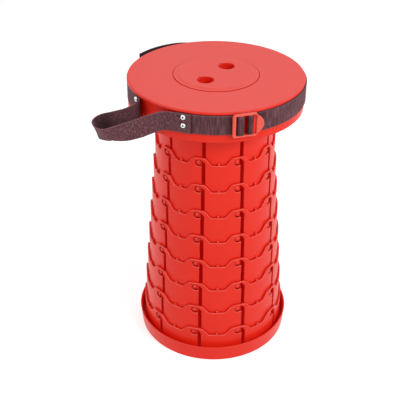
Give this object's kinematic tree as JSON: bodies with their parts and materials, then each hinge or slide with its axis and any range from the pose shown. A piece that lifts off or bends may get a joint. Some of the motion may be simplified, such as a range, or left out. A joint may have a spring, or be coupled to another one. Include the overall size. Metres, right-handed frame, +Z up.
{
  "type": "telescopic stool",
  "caption": "Round folding stool of nested rings that slide into each other between a base dish and a flat seat with a webbing carrying strap.",
  "frame": {"origin": "middle of the flat underside of the base, on the floor", "axes": "+Z up the stool's axis to the seat; -Y towards the front, where the buckle is; +X to the right, away from the handle"},
  "size_m": [0.3043, 0.2767, 0.4511],
  "materials": {
    "red_plastic": "satin moulded",
    "webbing": "woven",
    "nickel_plate": "bright plated",
    "screw_steel": "zinc plated"
  },
  "bodies": {
    "base": {"base_dish": "red_plastic", "ring_10": "red_plastic", "base_screws": "screw_steel"},
    "ring_09": {"ring_09": "red_plastic"},
    "ring_08": {"ring_08": "red_plastic"},
    "ring_07": {"ring_07": "red_plastic"},
    "ring_06": {"ring_06": "red_plastic"},
    "ring_05": {"ring_05": "red_plastic"},
    "ring_04": {"ring_04": "red_plastic"},
    "ring_03": {"ring_03": "red_plastic"},
    "ring_02": {"ring_02": "red_plastic"},
    "seat": {"ring_01": "red_plastic", "seat": "red_plastic", "centre_cap": "red_plastic", "buckle": "red_plastic", "seat_screws": "screw_steel", "strap_rivets": "nickel_plate", "rivet_washers": "nickel_plate", "belt_strap": "webbing", "buckle_strap": "webbing", "handle_strap": "webbing"}
  },
  "joints": [
    {"name": "ring_09_slide", "type": "slide", "parent": "base", "child": "ring_09", "axis": [0, 0, -1], "range_m": [0, 0.0427]},
    {"name": "ring_08_slide", "type": "slide", "parent": "ring_09", "child": "ring_08", "axis": [0, 0, -1], "range_m": [0, 0.0427]},
    {"name": "ring_07_slide", "type": "slide", "parent": "ring_08", "child": "ring_07", "axis": [0, 0, -1], "range_m": [0, 0.0427]},
    {"name": "ring_06_slide", "type": "slide", "parent": "ring_07", "child": "ring_06", "axis": [0, 0, -1], "range_m": [0, 0.0427]},
    {"name": "ring_05_slide", "type": "slide", "parent": "ring_06", "child": "ring_05", "axis": [0, 0, -1], "range_m": [0, 0.0427]},
    {"name": "ring_04_slide", "type": "slide", "parent": "ring_05", "child": "ring_04", "axis": [0, 0, -1], "range_m": [0, 0.0427]},
    {"name": "ring_03_slide", "type": "slide", "parent": "ring_04", "child": "ring_03", "axis": [0, 0, -1], "range_m": [0, 0.0427]},
    {"name": "ring_02_slide", "type": "slide", "parent": "ring_03", "child": "ring_02", "axis": [0, 0, -1], "range_m": [0, 0.0427]},
    {"name": "seat_slide", "type": "slide", "parent": "ring_02", "child": "seat", "axis": [0, 0, -1], "range_m": [0, 0.0427]}
  ]
}
